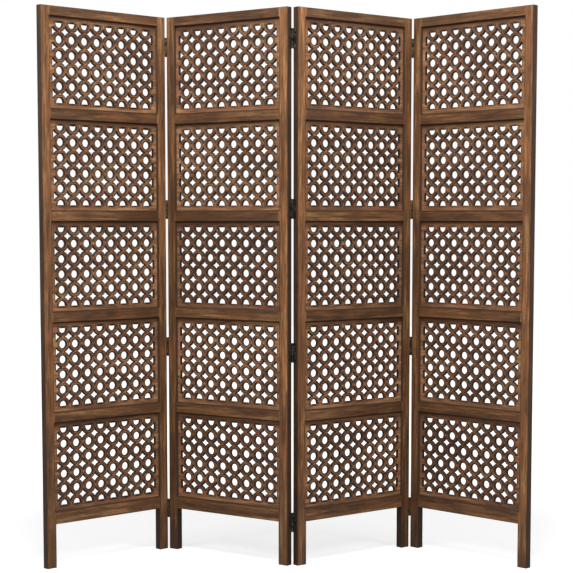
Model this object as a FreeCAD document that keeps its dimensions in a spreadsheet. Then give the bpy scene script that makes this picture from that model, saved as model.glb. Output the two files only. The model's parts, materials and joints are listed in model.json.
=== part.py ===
import FreeCAD, Part
import os

import Sketcher

# Four-panel folding screen in carved wood, standing in a zigzag.
# Each panel is a mortised frame: two stiles that run down as legs, a top rail, a bottom rail
# and mid rails between, with a pierced jali seated in the grooves of every opening.
# Butt hinges join the panels along three upright lines. The viewer stands on the -Y side.
# Every length is in millimetres, every angle in degrees.

SIZES = (
    ("panel_height", 1832, "floor to the top edge of a panel"),
    ("panel_width", 503, "width of one panel"),
    ("frame_thickness", 25, "thickness of the stiles and rails"),
    ("stile_width", 36, "width of a stile"),
    ("top_rail_height", 35, "height of the top rail"),
    ("mid_rail_height", 40, "height of a rail between two openings"),
    ("bottom_rail_height", 44, "height of the bottom rail"),
    ("leg_height", 145, "free height of the legs under the bottom rail"),
    ("sections", 5, "openings one above the other in a panel"),
    ("bevel", 5, "width and depth of the bevel round every opening"),
    ("easing", 1.5, "eased outer arrises of the frame"),
    ("groove_depth", 8, "depth of the groove that holds a jali"),
    ("tongue_gap", 1, "room left for the jali to swell in its groove"),
    ("tenon_length", 22, "length of a rail's tenon in its stile"),
    ("haunch", 9, "wood left outside the tenon at the top and bottom rail"),
    ("seat_clearance", 0.15, "clearance round tenons and jali edges"),
    ("jali_thickness", 10, "thickness of a carved jali"),
    ("side_border", 15.5, "opening's side to the outer edge of the first column of cells"),
    ("end_border", 19.8, "opening's end to the middle of the outer row of half cells"),
    ("hole_columns", 8, "round holes in a row"),
    ("hole_rows", 4, "rows of whole round holes"),
    ("hole_diameter", 25.5, "diameter of a round hole"),
    ("hole_sides", 4, "straight sides that stand for a round hole's curve"),
    ("panel_gap", 4, "gap between two panels that stand in one line"),
    ("hinge_height", 65, "height of a butt hinge"),
    ("barrel_diameter", 5.5, "diameter of a hinge's barrel"),
    ("leaf_thickness", 1.2, "thickness of a hinge leaf"),
    ("leaf_width", 15, "part of the stile's edge that a leaf covers"),
    ("knuckles", 5, "knuckles on a hinge's barrel"),
    ("hinge_sides", 8, "straight sides that stand for a barrel's or a pin's curve"),
    ("knuckle_gap", 0.3, "gap between two knuckles, and between a barrel and the wood"),
    ("pin_clearance", 0.05, "clearance between a pin's corners and the flats of its bore"),
    ("foot_to_hinge", 143, "floor to the middle of the lowest hinge"),
    ("second_hinge_share", 0.387, "height of the second hinge over the panel's height"),
    ("third_hinge_share", 0.645, "height of the third hinge over the panel's height"),
    ("top_to_hinge", 100, "top edge to the middle of the top hinge"),
    ("panel_1_angle", 42.7, "angle of panel 1 to the screen's line"),
    ("panel_2_angle", 34.6, "angle of panel 2 to the screen's line"),
    ("panel_3_angle", 38.9, "angle of panel 3 to the screen's line"),
    ("panel_4_angle", 44.9, "angle of panel 4 to the screen's line"),
)
PANELS = ("panel_1", "panel_2", "panel_3", "panel_4")

OPENING_WIDTH = "(Sizes.panel_width - 2 * Sizes.stile_width)"
OPENING_HEIGHT = (
    "((Sizes.panel_height - Sizes.leg_height - Sizes.bottom_rail_height - Sizes.top_rail_height"
    " - (Sizes.sections - 1) * Sizes.mid_rail_height) / Sizes.sections)"
)
LOWEST_OPENING = "(Sizes.leg_height + Sizes.bottom_rail_height)"
SECTION_PITCH = f"({OPENING_HEIGHT} + Sizes.mid_rail_height)"
FACE = "(Sizes.frame_thickness / 2)"
GROOVE_HALF = "(Sizes.jali_thickness / 2 + Sizes.seat_clearance)"
TONGUE = "(Sizes.groove_depth - Sizes.tongue_gap)"
COLUMN_PITCH = f"(({OPENING_WIDTH} - 2 * Sizes.side_border) / Sizes.hole_columns)"
ROW_PITCH = f"(({OPENING_HEIGHT} - 2 * Sizes.end_border) / (Sizes.hole_rows + 1))"
# Corners of a straight-sided hole lie this far out, so that it is as open as the round one.
HOLE_REACH = "(Sizes.hole_diameter / 2 * sqrt(2 * pi / Sizes.hole_sides / sin(360 / Sizes.hole_sides)))"
BARREL_RADIUS = "(Sizes.barrel_diameter / 2)"
PIN_RADIUS = f"({BARREL_RADIUS} - Sizes.leaf_thickness)"
# A barrel's flats lie at its radius, and the bore's flats clear the pin's corners.
FLAT_SHARE = "cos(180 / Sizes.hinge_sides)"
BARREL_REACH = f"({BARREL_RADIUS} / {FLAT_SHARE})"
BORE_REACH = f"(({PIN_RADIUS} + Sizes.pin_clearance) / {FLAT_SHARE})"
# The barrel nests between the eased arrises of two stiles, which slope at 45 degrees.
AXIS_PROUD = (
    f"(sqrt(2) * ({BARREL_REACH} + Sizes.knuckle_gap) - Sizes.panel_gap / 2 - Sizes.easing)"
)
AXIS_DEPTH = f"({FACE} + {AXIS_PROUD})"
KNUCKLE_PITCH = "((Sizes.hinge_height + Sizes.knuckle_gap) / Sizes.knuckles)"
HINGE_LEVELS = (
    "Sizes.foot_to_hinge",
    "Sizes.panel_height * Sizes.second_hinge_share",
    "Sizes.panel_height * Sizes.third_hinge_share",
    "Sizes.panel_height - Sizes.top_to_hinge",
)

doc = FreeCAD.newDocument("carved_jali_screen")
sheet = doc.addObject("Spreadsheet::Sheet", "Sizes")
for row, (alias, value, meaning) in enumerate(SIZES, start=1):
    sheet.set(f"A{row}", meaning)
    sheet.set(f"B{row}", str(value))
    sheet.setAlias(f"B{row}", alias)
doc.recompute()


def size(expression):
    """Value of an expression on the sheet's sizes."""
    return float(sheet.evalExpression(expression))


def new_body(label):
    body = doc.addObject("PartDesign::Body", label)
    body.Label = label
    return body


def new_sketch(body, name, role, height=None):
    """Sketch on one of the body's own planes, raised by an expression along the plane's normal."""
    plane = next(item for item in body.Origin.OriginFeatures if item.Role == role)
    sketch = body.newObject("Sketcher::SketchObject", name)
    sketch.AttachmentSupport = [(plane, "")]
    sketch.MapMode = "FlatFace"
    if height:
        sketch.setExpression("AttachmentOffset.Base.z", height)
    return sketch


def pin_point(sketch, line, across, up):
    """Tie the start of a sketch line to its place from the sketch's origin."""
    for expression, kind, axis in ((across, "DistanceX", -2), (up, "DistanceY", -1)):
        if expression == "0":
            sketch.addConstraint(Sketcher.Constraint("PointOnObject", line, 1, axis))
        else:
            value = size(expression)
            index = sketch.addConstraint(Sketcher.Constraint(kind, -1, 1, line, 1, value))
            sketch.setExpression(f"Constraints[{index}]", expression)


def outline(sketch, points):
    """Closed outline through points, each an across and an up expression."""
    places = [FreeCAD.Vector(size(across), size(up), 0) for across, up in points]
    first = sketch.GeometryCount
    count = len(points)
    for index in range(count):
        sketch.addGeometry(Part.LineSegment(places[index], places[(index + 1) % count]), False)
    for index in range(count):
        after = first + (index + 1) % count
        sketch.addConstraint(Sketcher.Constraint("Coincident", first + index, 2, after, 1))
    for index, (across, up) in enumerate(points):
        pin_point(sketch, first + index, across, up)


def rectangle(sketch, left, right, low, high):
    outline(sketch, ((left, low), (right, low), (right, high), (left, high)))


def barrel_outline(sketch, reach):
    """Straight-sided round outline about the sketch's origin, its corners at this reach."""
    corners = []
    for index in range(int(size("Sizes.hinge_sides"))):
        turn = f"((2 * {index} + 1) * 180 / Sizes.hinge_sides)"
        corners.append((f"{reach} * cos({turn})", f"{reach} * sin({turn})"))
    outline(sketch, corners)


def pad(body, sketch, name, length, both_ways=False):
    feature = body.newObject("PartDesign::Pad", name)
    feature.Profile = sketch
    feature.setExpression("Length", length)
    feature.Midplane = both_ways
    return feature


def pocket(body, sketch, name, length=None):
    """Cut both ways from the sketch: to a stated length in all, or right through."""
    feature = body.newObject("PartDesign::Pocket", name)
    feature.Profile = sketch
    feature.Midplane = True
    if length:
        feature.setExpression("Length", length)
    else:
        feature.Type = "ThroughAll"
    return feature


def repeat(body, features, name, sketch, across=None, up=None):
    """Pattern of features along the sketch's own axes; each way is a pitch and a count."""
    feature = body.newObject("PartDesign::LinearPattern", name)
    feature.Originals = features
    ways = [("H_Axis", across), ("V_Axis", up)]
    ways = [(axis, way) for axis, way in ways if way]
    for (axis, (pitch, count)), suffix in zip(ways, ("", "2")):
        setattr(feature, f"Direction{suffix}", (sketch, [axis]))
        feature.setExpression(f"Length{suffix}", f"{pitch} * ({count} - 1)")
        feature.setExpression(f"Occurrences{suffix}", count)
    body.Tip = feature
    return feature


def bevel_cutter(body, left, left_deep, right, low, high):
    """Sloping cut round one opening on the front face, as deep as it is wide."""
    cutter = body.newObject("PartDesign::SubtractiveWedge", "opening_bevel")
    cutter.setExpression("Xmin", left)
    cutter.setExpression("X2min", left_deep)
    cutter.setExpression("Xmax", right)
    cutter.setExpression("X2max", right)
    cutter.setExpression("Ymin", f"-{FACE}")
    cutter.setExpression("Ymax", f"Sizes.bevel - {FACE}")
    cutter.setExpression("Zmin", f"{low} - Sizes.bevel")
    cutter.setExpression("Zmax", f"{high} + Sizes.bevel")
    cutter.setExpression("Z2min", low)
    cutter.setExpression("Z2max", high)
    return cutter


def make_stile():
    """Stile with its outer edge at X 0 and its inner edge at the stile's width."""
    body = new_body("stile")
    eased = f"({FACE} - Sizes.easing)"
    section = new_sketch(body, "stile_section", "XY_Plane")
    outline(section, (
        ("0", f"-{eased}"), ("Sizes.easing", f"-{FACE}"), ("Sizes.stile_width", f"-{FACE}"),
        ("Sizes.stile_width", FACE), ("Sizes.easing", FACE), ("0", eased),
    ))
    pad(body, section, "stile_blank", "Sizes.panel_height")
    doc.recompute()

    groove = new_sketch(body, "groove_outline", "XZ_Plane")
    rectangle(groove, "Sizes.stile_width - Sizes.groove_depth", "Sizes.stile_width",
              f"{LOWEST_OPENING} - Sizes.groove_depth",
              "Sizes.panel_height - Sizes.top_rail_height + Sizes.groove_depth")
    pocket(body, groove, "groove", f"2 * {GROOVE_HALF}")
    doc.recompute()

    back = "Sizes.stile_width - Sizes.tenon_length - Sizes.seat_clearance"
    ends = new_sketch(body, "end_mortise_outline", "XZ_Plane")
    rectangle(ends, back, "Sizes.stile_width",
              "Sizes.leg_height + Sizes.haunch - Sizes.seat_clearance",
              f"{LOWEST_OPENING} - Sizes.groove_depth + Sizes.seat_clearance")
    rectangle(ends, back, "Sizes.stile_width",
              "Sizes.panel_height - Sizes.top_rail_height + Sizes.groove_depth - Sizes.seat_clearance",
              "Sizes.panel_height - Sizes.haunch + Sizes.seat_clearance")
    pocket(body, ends, "end_mortises", f"2 * {GROOVE_HALF}")
    doc.recompute()

    first_rail = f"({LOWEST_OPENING} + {OPENING_HEIGHT})"
    mids = new_sketch(body, "mid_mortise_outline", "XZ_Plane")
    rectangle(mids, back, "Sizes.stile_width",
              f"{first_rail} + Sizes.groove_depth - Sizes.seat_clearance",
              f"{first_rail} + Sizes.mid_rail_height - Sizes.groove_depth + Sizes.seat_clearance")
    mortise = pocket(body, mids, "mid_mortise", f"2 * {GROOVE_HALF}")
    doc.recompute()
    repeat(body, [mortise], "mid_mortises", mids, up=(SECTION_PITCH, "(Sizes.sections - 1)"))
    doc.recompute()

    cutter = bevel_cutter(body, "Sizes.stile_width - Sizes.bevel", "Sizes.stile_width",
                          "Sizes.stile_width + Sizes.bevel", LOWEST_OPENING,
                          f"{LOWEST_OPENING} + {OPENING_HEIGHT}")
    doc.recompute()
    bevels = body.newObject("PartDesign::MultiTransform", "opening_bevels")
    bevels.Originals = [cutter]
    upward = body.newObject("PartDesign::LinearPattern", "bevels_upward")
    upward.Direction = (mids, ["V_Axis"])
    upward.setExpression("Length", f"{SECTION_PITCH} * (Sizes.sections - 1)")
    upward.setExpression("Occurrences", "Sizes.sections")
    behind = body.newObject("PartDesign::Mirrored", "bevels_behind")
    behind.MirrorPlane = (next(f for f in body.Origin.OriginFeatures if f.Role == "XZ_Plane"), [""])
    bevels.Transformations = [upward, behind]
    body.Tip = bevels
    doc.recompute()
    return body


def grooved_edge(level, inward):
    """Right half of a rail's grooved and bevelled edge, from the groove outwards."""
    return (
        (GROOVE_HALF, f"{level} {inward} Sizes.groove_depth"),
        (GROOVE_HALF, level),
        (f"{FACE} - Sizes.bevel", level),
        (FACE, f"{level} {inward} Sizes.bevel"),
    )


def eased_edge(level, inward):
    """Right half of a rail's plain edge with its arris eased."""
    return (
        (f"{FACE} - Sizes.easing", level),
        (FACE, f"{level} {inward} Sizes.easing"),
    )


def make_rail(label, height, low_edge, high_edge, tenon_low, tenon_high):
    """Rail with its length along X, centred, and its lower edge at Z 0."""
    body = new_body(label)
    right = low_edge("0", "+") + tuple(reversed(high_edge(height, "-")))
    left = tuple((f"-({across})", up) for across, up in reversed(right))
    section = new_sketch(body, f"{label}_section", "YZ_Plane")
    outline(section, right + left)
    pad(body, section, f"{label}_blank", OPENING_WIDTH, both_ways=True)
    doc.recompute()
    tenon = new_sketch(body, f"{label}_tenon_section", "YZ_Plane")
    rectangle(tenon, "-Sizes.jali_thickness / 2", "Sizes.jali_thickness / 2", tenon_low, tenon_high)
    pad(body, tenon, f"{label}_tenons", f"{OPENING_WIDTH} + 2 * Sizes.tenon_length", both_ways=True)
    doc.recompute()
    return body


def make_jali():
    """Pierced plate centred on the origin, upright in the XZ plane."""
    body = new_body("jali")
    half_width = f"({OPENING_WIDTH} / 2 + {TONGUE})"
    half_height = f"({OPENING_HEIGHT} / 2 + {TONGUE})"
    plate = new_sketch(body, "jali_outline", "XZ_Plane")
    rectangle(plate, f"-{half_width}", half_width, f"-{half_height}", half_height)
    pad(body, plate, "jali_plate", "Sizes.jali_thickness", both_ways=True)
    doc.recompute()

    first_column = f"(-{COLUMN_PITCH} * (Sizes.hole_columns - 1) / 2)"
    lowest_row = f"(-{ROW_PITCH} * (Sizes.hole_rows - 1) / 2)"
    corners = []
    for index in range(int(size("Sizes.hole_sides"))):
        turn = f"({index} * 360 / Sizes.hole_sides)"
        corners.append((f"{first_column} + {HOLE_REACH} * cos({turn})",
                        f"{lowest_row} + {HOLE_REACH} * sin({turn})"))
    first_hole = new_sketch(body, "first_hole_outline", "XZ_Plane")
    outline(first_hole, corners)
    hole = pocket(body, first_hole, "first_hole")
    doc.recompute()
    repeat(body, [hole], "lattice_of_holes", first_hole,
           across=(COLUMN_PITCH, "Sizes.hole_columns"),
           up=(ROW_PITCH, "Sizes.hole_rows"))
    doc.recompute()
    return body


def make_leaf(label, side, first_knuckle, knuckle_count):
    """Hinge leaf round an upright axis at the origin; its plate lies on the given X side.

    The barrel's axis is Z, the middle of the hinge is at Z 0 and the plate runs towards +Y.
    """
    body = new_body(label)
    outer = f"({side} * Sizes.panel_gap / 2)"
    inner = f"({side} * (Sizes.panel_gap / 2 - Sizes.leaf_thickness))"
    plate_start = f"({BARREL_REACH} + Sizes.knuckle_gap)"
    plate = new_sketch(body, f"{label}_plate_section", "XY_Plane")
    rectangle(plate, inner, outer, plate_start, f"{AXIS_PROUD} + Sizes.leaf_width")
    pad(body, plate, f"{label}_plate", "Sizes.hinge_height", both_ways=True)
    doc.recompute()

    lowest = f"{first_knuckle} * {KNUCKLE_PITCH} - Sizes.hinge_height / 2"
    length = f"{KNUCKLE_PITCH} - Sizes.knuckle_gap"
    strap_section = new_sketch(body, f"{label}_strap_section", "XY_Plane", lowest)
    rectangle(strap_section, inner, outer, "0", plate_start)
    strap = pad(body, strap_section, f"{label}_strap", length)
    doc.recompute()
    upright = next(f for f in body.Origin.OriginFeatures if f.Role == "Z_Axis")

    def stack(feature, name):
        pattern = body.newObject("PartDesign::LinearPattern", name)
        pattern.Originals = [feature]
        pattern.Direction = (upright, [""])
        pattern.setExpression("Length", f"2 * {KNUCKLE_PITCH} * ({knuckle_count} - 1)")
        pattern.setExpression("Occurrences", knuckle_count)
        body.Tip = pattern
        doc.recompute()

    stack(strap, f"{label}_straps")
    ring = new_sketch(body, f"{label}_knuckle_section", "XY_Plane", lowest)
    barrel_outline(ring, BARREL_REACH)
    knuckle = pad(body, ring, f"{label}_knuckle", length)
    doc.recompute()
    stack(knuckle, f"{label}_knuckles")
    bore = new_sketch(body, f"{label}_bore_section", "XY_Plane")
    barrel_outline(bore, BORE_REACH)
    pocket(body, bore, f"{label}_bore")
    doc.recompute()
    return body


def make_pin():
    """Hinge pin as long as its hinge."""
    body = new_body("hinge_pin")
    section = new_sketch(body, "hinge_pin_section", "XY_Plane")
    barrel_outline(section, PIN_RADIUS)
    pad(body, section, "hinge_pin_rod", "Sizes.hinge_height", both_ways=True)
    doc.recompute()
    return body


def placed(name, source, placement):
    """Instance of another object at a placement given as an expression."""
    item = doc.addObject("App::Link", name)
    item.Label = name
    item.LinkedObject = source
    item.setExpression("Placement", placement)
    return item


def group(name, items):
    """Several loose solids as one object."""
    whole = doc.addObject("Part::Compound", name)
    whole.Links = items
    return whole


def at(across, depth, up, turn="0"):
    """Placement expression: a shift in a panel's own frame and a turn about the upright."""
    return f"placement(vector({across}; {depth}; {up}); rotation(vector(0; 0; 1); {turn}))"


def hinge_set(name, source):
    """One hinge piece at each of the levels of a hinge line."""
    return group(name, [placed(f"{name}_{count}", source, at("0", "0", level))
                        for count, level in enumerate(HINGE_LEVELS, start=1)])


def panel_frame(panel, placement):
    """Frame of one panel: origin at its left edge, mid-thickness and floor, X along the panel."""
    frame = doc.addObject("Part::LocalCoordinateSystem", f"{panel}_frame")
    frame.setExpression("Placement", placement)
    doc.recompute()
    return frame


LEFT_AXIS = "-Sizes.panel_gap / 2"
RIGHT_AXIS = "Sizes.panel_width + Sizes.panel_gap / 2"


def beyond(panel, axis_depth, turn):
    """Frame of the next panel to the right, folded about a hinge line."""
    swing = at(RIGHT_AXIS, axis_depth, "0", turn)
    back = at(f"-({LEFT_AXIS})", f"-({axis_depth})", "0")
    return f"{panel}_frame.Placement * {swing} * {back}"


def before(panel, axis_depth, turn):
    """Frame of the next panel to the left, folded about a hinge line."""
    swing = at(LEFT_AXIS, axis_depth, "0", turn)
    back = at(f"-({RIGHT_AXIS})", f"-({axis_depth})", "0")
    return f"{panel}_frame.Placement * {swing} * {back}"


def make_frames():
    """Panel frames in a zigzag, with the middle of the whole footprint at the origin."""
    origin = doc.addObject("Part::LocalCoordinateSystem", "screen_frame")
    front, rear = f"-{AXIS_DEPTH}", AXIS_DEPTH
    panel_frame("panel_2", f"screen_frame.Placement * {at('0', '0', '0', '-Sizes.panel_2_angle')}")
    panel_frame("panel_1", before("panel_2", front, "Sizes.panel_2_angle + Sizes.panel_1_angle"))
    panel_frame("panel_3", beyond("panel_2", rear, "Sizes.panel_2_angle + Sizes.panel_3_angle"))
    panel_frame("panel_4", beyond("panel_3", front, "-Sizes.panel_3_angle - Sizes.panel_4_angle"))
    corners = []
    for panel in PANELS:
        placement = doc.getObject(f"{panel}_frame").Placement
        for across in (0, size("Sizes.panel_width")):
            for eased, depth in ((0, size(FACE) - size("Sizes.easing")),
                                 (size("Sizes.easing"), size(FACE))):
                inward = eased if across == 0 else -eased
                corners.append(placement.multVec(FreeCAD.Vector(across + inward, depth, 0)))
                corners.append(placement.multVec(FreeCAD.Vector(across + inward, -depth, 0)))
    middle_x = (min(c.x for c in corners) + max(c.x for c in corners)) / 2
    middle_y = (min(c.y for c in corners) + max(c.y for c in corners)) / 2
    origin.Placement = FreeCAD.Placement(FreeCAD.Vector(-middle_x, -middle_y, 0), FreeCAD.Rotation())
    doc.recompute()


def panel_pieces():
    """Wooden pieces of a panel, each with its place in the panel's frame."""
    middle = "Sizes.panel_width / 2"
    pieces = [
        ("left_stile", stile, at("0", "0", "0")),
        ("right_stile", stile, at("Sizes.panel_width", "0", "0", "180")),
        ("bottom_rail", bottom_rail, at(middle, "0", "Sizes.leg_height")),
        ("top_rail", top_rail, at(middle, "0", "Sizes.panel_height - Sizes.top_rail_height")),
    ]
    sections = int(size("Sizes.sections"))
    for index in range(sections):
        level = f"{LOWEST_OPENING} + {OPENING_HEIGHT} / 2 + {index} * {SECTION_PITCH}"
        pieces.append((f"jali_{index + 1}", jali, at(middle, "0", level)))
    for index in range(sections - 1):
        level = f"{LOWEST_OPENING} + {OPENING_HEIGHT} + {index} * {SECTION_PITCH}"
        pieces.append((f"mid_rail_{index + 1}", mid_rail, at(middle, "0", level)))
    return pieces


stile = make_stile()
top_rail = make_rail("top_rail", "Sizes.top_rail_height", grooved_edge, eased_edge,
                     "Sizes.groove_depth", "Sizes.top_rail_height - Sizes.haunch")
mid_rail = make_rail("mid_rail", "Sizes.mid_rail_height", grooved_edge, grooved_edge,
                     "Sizes.groove_depth", "Sizes.mid_rail_height - Sizes.groove_depth")
bottom_rail = make_rail("bottom_rail", "Sizes.bottom_rail_height", eased_edge, grooved_edge,
                        "Sizes.haunch", "Sizes.bottom_rail_height - Sizes.groove_depth")
jali = make_jali()
wide_leaf = make_leaf("wide_leaf", "1", "0", "((Sizes.knuckles + 1) / 2)")
narrow_leaf = make_leaf("narrow_leaf", "-1", "1", "((Sizes.knuckles - 1) / 2)")
pin = make_pin()
wide_leaves = hinge_set("wide_leaves", wide_leaf)
narrow_leaves = hinge_set("narrow_leaves", narrow_leaf)
pins = hinge_set("pins", pin)
make_frames()

# Places of the hinge lines in a panel's frame: in front of its left or right edge, or behind.
FRONT_LEFT = at(LEFT_AXIS, f"-{AXIS_DEPTH}", "0")
FRONT_RIGHT = at(RIGHT_AXIS, f"-{AXIS_DEPTH}", "0")
REAR_LEFT = at(LEFT_AXIS, AXIS_DEPTH, "0", "180")
REAR_RIGHT = at(RIGHT_AXIS, AXIS_DEPTH, "0", "180")

nodes = []
for panel in PANELS:
    for name, source, place in panel_pieces():
        nodes.append(placed(f"{panel}_{name}", source, f"{panel}_frame.Placement * {place}"))

HARDWARE = (
    ("panel_1", "right_leaves", narrow_leaves, FRONT_RIGHT),
    ("panel_2", "left_leaves", wide_leaves, FRONT_LEFT),
    ("panel_2", "right_leaves", wide_leaves, REAR_RIGHT),
    ("panel_3", "left_leaves", narrow_leaves, REAR_LEFT),
    ("panel_3", "right_leaves", narrow_leaves, FRONT_RIGHT),
    ("panel_4", "left_leaves", wide_leaves, FRONT_LEFT),
    ("panel_4", "hinge_pins", pins, FRONT_LEFT),
)
for panel, name, source, place in HARDWARE:
    nodes.append(placed(f"{panel}_{name}", source, f"{panel}_frame.Placement * {place}"))
both_pins = group("pins_on_both_sides", [placed("left_pins", pins, FRONT_LEFT),
                                         placed("right_pins", pins, REAR_RIGHT)])
nodes.append(placed("panel_2_hinge_pins", both_pins, "panel_2_frame.Placement"))
doc.recompute()

failed = [item.Name for item in doc.Objects
          if "Invalid" in item.State or "Error" in item.State]
if failed:
    raise RuntimeError("objects that failed: " + ", ".join(failed))
shapes = {node.Label: Part.getShape(node, noElementMap=True) for node in nodes}
for label, shape in shapes.items():
    if shape.isNull() or not shape.isValid() or not shape.Solids:
        raise RuntimeError(f"{label} has no sound solid")

os.makedirs("parts", exist_ok=True)
for label, shape in shapes.items():
    shape.exportStep(os.path.join("parts", f"{label}.step"))

for name, panel, place in (("fold_1_2", "panel_2", FRONT_LEFT), ("fold_2_3", "panel_2", REAR_RIGHT),
                           ("fold_3_4", "panel_3", FRONT_RIGHT)):
    spot = sheet.evalExpression(f"{panel}_frame.Placement * {place} * vector(0; 0; 0)")
    print(f"{name} axis at X {spot.x:.4f}, Y {spot.y:.4f} mm")
foot = sheet.evalExpression(
    "panel_2_frame.Placement * vector(Sizes.panel_width - Sizes.stile_width / 2; 0; 0)")
print(f"middle of a foot of panel 2 at X {foot.x:.4f}, Y {foot.y:.4f} mm")
print(f"{len(nodes)} nodes, {sum(len(shape.Solids) for shape in shapes.values())} solids")
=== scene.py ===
"""Looks of a four-panel folding screen in carved wood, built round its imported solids."""

import json
import math

import bmesh
import bpy
from bpy.props import FloatProperty, FloatVectorProperty, IntProperty, PointerProperty
from mathutils import Matrix, Vector

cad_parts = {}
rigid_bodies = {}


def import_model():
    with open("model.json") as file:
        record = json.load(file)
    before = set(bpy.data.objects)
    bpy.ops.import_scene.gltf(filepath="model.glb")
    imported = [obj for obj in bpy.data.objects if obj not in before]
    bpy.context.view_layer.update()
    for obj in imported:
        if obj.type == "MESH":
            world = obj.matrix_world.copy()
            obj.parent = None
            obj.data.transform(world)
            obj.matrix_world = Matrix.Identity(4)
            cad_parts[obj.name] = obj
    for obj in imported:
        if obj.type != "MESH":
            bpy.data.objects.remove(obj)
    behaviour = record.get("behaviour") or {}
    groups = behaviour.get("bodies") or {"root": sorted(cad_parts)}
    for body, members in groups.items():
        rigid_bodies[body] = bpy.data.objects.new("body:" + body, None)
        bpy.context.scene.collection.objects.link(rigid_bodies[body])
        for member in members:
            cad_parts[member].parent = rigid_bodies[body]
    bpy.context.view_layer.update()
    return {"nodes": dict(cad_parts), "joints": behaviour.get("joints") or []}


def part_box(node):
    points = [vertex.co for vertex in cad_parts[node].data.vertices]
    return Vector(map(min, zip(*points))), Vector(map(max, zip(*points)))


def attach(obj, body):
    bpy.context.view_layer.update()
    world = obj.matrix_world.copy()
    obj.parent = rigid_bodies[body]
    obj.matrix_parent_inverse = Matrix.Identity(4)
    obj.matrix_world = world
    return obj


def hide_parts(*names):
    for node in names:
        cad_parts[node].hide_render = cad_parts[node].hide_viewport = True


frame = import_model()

bl_info = {
    "name": "Carved jali screen",
    "version": (1, 0, 0),
    "blender": (4, 5, 0),
    "location": "3D View > Sidebar > Jali screen",
    "description": "Carved and pierced lattice, wooden frame, butt hinges and studio for a folding screen",
    "category": "Object",
}

PANELS = (1, 2, 3, 4)
PHOTO_WIDTH = 573
UP = Vector((0, 0, 1))
WHITE = (1, 1, 1, 1)

# Lengths in metres that count as nothing, and between points that count as one
TINY = 1e-6
SAME_PLACE = 1e-5


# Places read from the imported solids

def corners(node):
    """Points of a solid, in the row frame."""
    return [vertex.co.copy() for vertex in frame["nodes"][node].data.vertices]


def depth_of(node):
    """Level direction through a board, from its front to its back."""
    face = max(frame["nodes"][node].data.polygons, key=lambda face: face.area)
    deep = Vector((face.normal.x, face.normal.y, 0)).normalized()
    return deep if deep.y > 0 else -deep


def panel_place(number):
    """Matrix of a panel: X along it, Y from its front to its back, origin mid-width on the floor."""
    board = f"panel_{number}_jali_1"
    deep = depth_of(board)
    low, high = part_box(board)
    middle = (Vector(low) + Vector(high)) / 2
    place = Matrix((deep.cross(UP), deep, UP)).transposed().to_4x4()
    place.translation = (middle.x, middle.y, 0)
    return place


def span(node, place):
    """Lowest and highest corner of a solid, in the frame of a panel."""
    inward = place.inverted()
    points = [inward @ point for point in corners(node)]
    low = Vector(min(point[axis] for point in points) for axis in range(3))
    high = Vector(max(point[axis] for point in points) for axis in range(3))
    return low, high


def panel_nodes(number, *words):
    """Names of a panel's nodes that hold one of the words."""
    return [name for name in frame["nodes"]
            if name.startswith(f"panel_{number}_") and any(word in name for word in words)]


PLACES = {number: panel_place(number) for number in PANELS}
JALI_LOW, JALI_HIGH = span("panel_2_jali_1", PLACES[2])
JALI_SIZE = JALI_HIGH - JALI_LOW


# Node trees

# Sockets of a colour mix: its factor, its two colours and its result
MIX_INPUTS = (0, 6, 7)
MIX_RESULT = 2


def feed(tree, socket, value):
    """Link a socket to another, or set its value."""
    if isinstance(value, bpy.types.NodeSocket):
        tree.links.new(value, socket)
    else:
        socket.default_value = value


def step(tree, kind, settings=None, **sockets):
    """New node with its settings, and its sockets set or linked; _ stands for a space."""
    node = tree.nodes.new(kind)
    for name, value in (settings or {}).items():
        setattr(node, name, value)
    for name, value in sockets.items():
        feed(tree, node.inputs[name.replace("_", " ")], value)
    return node


def calc(tree, operation, first, second=0.0):
    """Result of one sum."""
    node = tree.nodes.new("ShaderNodeMath")
    node.operation = operation
    for socket, value in zip(node.inputs, (first, second)):
        feed(tree, socket, value)
    return node.outputs[0]


def ease(tree, value, low, high, start=0.0, end=1.0):
    """Smooth step from start to end as value goes from low to high."""
    node = step(tree, "ShaderNodeMapRange", {"interpolation_type": "SMOOTHSTEP"}, Value=value,
                From_Min=low, From_Max=high, To_Min=start, To_Max=end)
    return node.outputs[0]


def mix(tree, factor, first, second, mode="MIX"):
    """Blend of two colours."""
    node = tree.nodes.new("ShaderNodeMix")
    node.data_type = "RGBA"
    node.blend_type = mode
    for index, value in zip(MIX_INPUTS, (factor, first, second)):
        feed(tree, node.inputs[index], value)
    return node.outputs[MIX_RESULT]


def noise(tree, vector, scale, detail=2.0, distortion=0.0, roughness=0.5):
    """Noise from 0 to 1, with about this many patches in a metre."""
    node = step(tree, "ShaderNodeTexNoise", None, Vector=vector, Scale=scale, Detail=detail,
                Distortion=distortion, Roughness=roughness)
    return node.outputs["Fac"]


def bump(tree, shader, height, strength, distance):
    """Relief on a shader's surface."""
    node = step(tree, "ShaderNodeBump", None, Strength=strength, Distance=distance, Height=height)
    tree.links.new(node.outputs[0], shader.inputs["Normal"])


def new_material(name):
    """Empty material with its shader and output."""
    material = bpy.data.materials.new(name)
    material.use_nodes = True
    material.node_tree.nodes.clear()
    tree = material.node_tree
    shader = tree.nodes.new("ShaderNodeBsdfPrincipled")
    output = tree.nodes.new("ShaderNodeOutputMaterial")
    tree.links.new(shader.outputs[0], output.inputs["Surface"])
    return material, tree, shader


def colour(value):
    """Colour with its alpha."""
    return (*value, 1.0)


# Materials

# Detail, distortion and roughness of each noise in the wood; two of them keep the usual roughness
FIGURE_NOISE = (4.0, 0.6, 0.55)
FIBRE_NOISE = (3.0, 0.2, 0.6)
PORE_NOISE = (2.0, 0.0, 0.7)
STAIN_NOISE = (3.0, 0.3)
RED_NOISE = (2.0, 0.2)

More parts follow.
